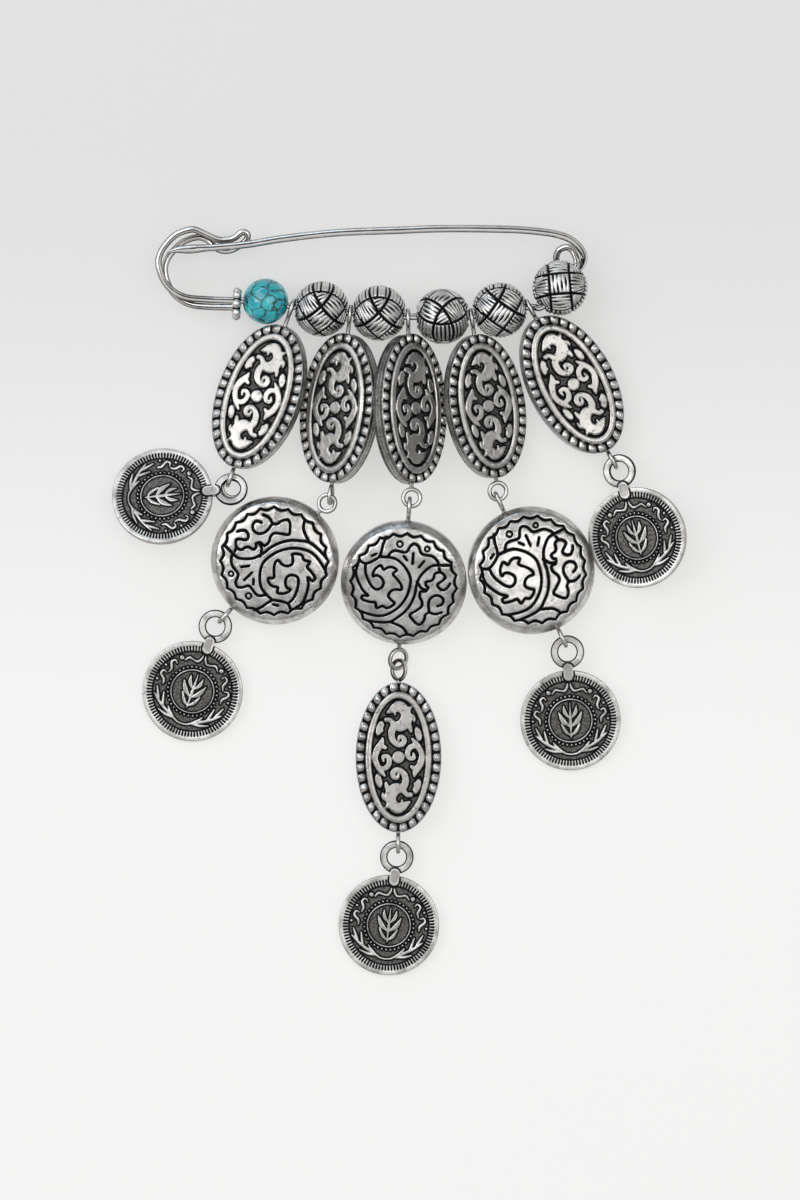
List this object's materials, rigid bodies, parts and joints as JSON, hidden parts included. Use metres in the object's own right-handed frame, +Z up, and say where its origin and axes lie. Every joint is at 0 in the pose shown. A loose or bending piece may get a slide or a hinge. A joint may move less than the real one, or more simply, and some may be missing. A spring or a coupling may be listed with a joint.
{
  "type": "brooch",
  "caption": "Silver pin brooch with woven beads, engraved medallions, studded oval drops and coins on eye pins, lying on its back.",
  "frame": {"origin": "on the resting surface, under the middle of the brooch's width and length", "axes": "+Z up from the resting surface towards the viewer, +Y from the coins towards the pin, +X from the hook towards the coil"},
  "size_m": [0.1, 0.1306, 0.0129],
  "materials": {
    "antique_silver": "cast silver-coloured metal with black patina in the recesses",
    "bright_wire": "polished nickel-coloured wire",
    "turquoise": "polished turquoise with dark veins"
  },
  "bodies": {
    "brooch": {"pin_frame": "bright_wire", "spacer": "antique_silver", "turquoise_bead": "turquoise", "woven_bead_1": "antique_silver", "woven_bead_2": "antique_silver", "woven_bead_3": "antique_silver", "woven_bead_4": "antique_silver", "woven_bead_5": "antique_silver", "oval_drop_1": "antique_silver", "oval_drop_2": "antique_silver", "oval_drop_3": "antique_silver", "oval_drop_4": "antique_silver", "oval_drop_5": "antique_silver", "oval_drop_6": "antique_silver", "medallion_1": "antique_silver", "medallion_2": "antique_silver", "medallion_3": "antique_silver", "eye_pin_1": "bright_wire", "eye_pin_2": "bright_wire", "eye_pin_3": "bright_wire", "eye_pin_4": "bright_wire", "eye_pin_5": "bright_wire", "eye_pin_6": "bright_wire", "eye_pin_7": "bright_wire", "eye_pin_8": "bright_wire", "eye_pin_9": "bright_wire", "coin_1": "antique_silver", "coin_2": "antique_silver", "coin_3": "antique_silver", "coin_4": "antique_silver", "coin_5": "antique_silver", "jump_ring": "bright_wire"},
    "needle": {"needle": "bright_wire"}
  },
  "joints": [
    {"name": "needle_hinge", "type": "hinge", "parent": "brooch", "child": "needle", "pos_m": [0.0308, 0.05733, 0.0021], "axis": [0, 0.342, -0.9397], "range_deg": [0, 25]}
  ]
}
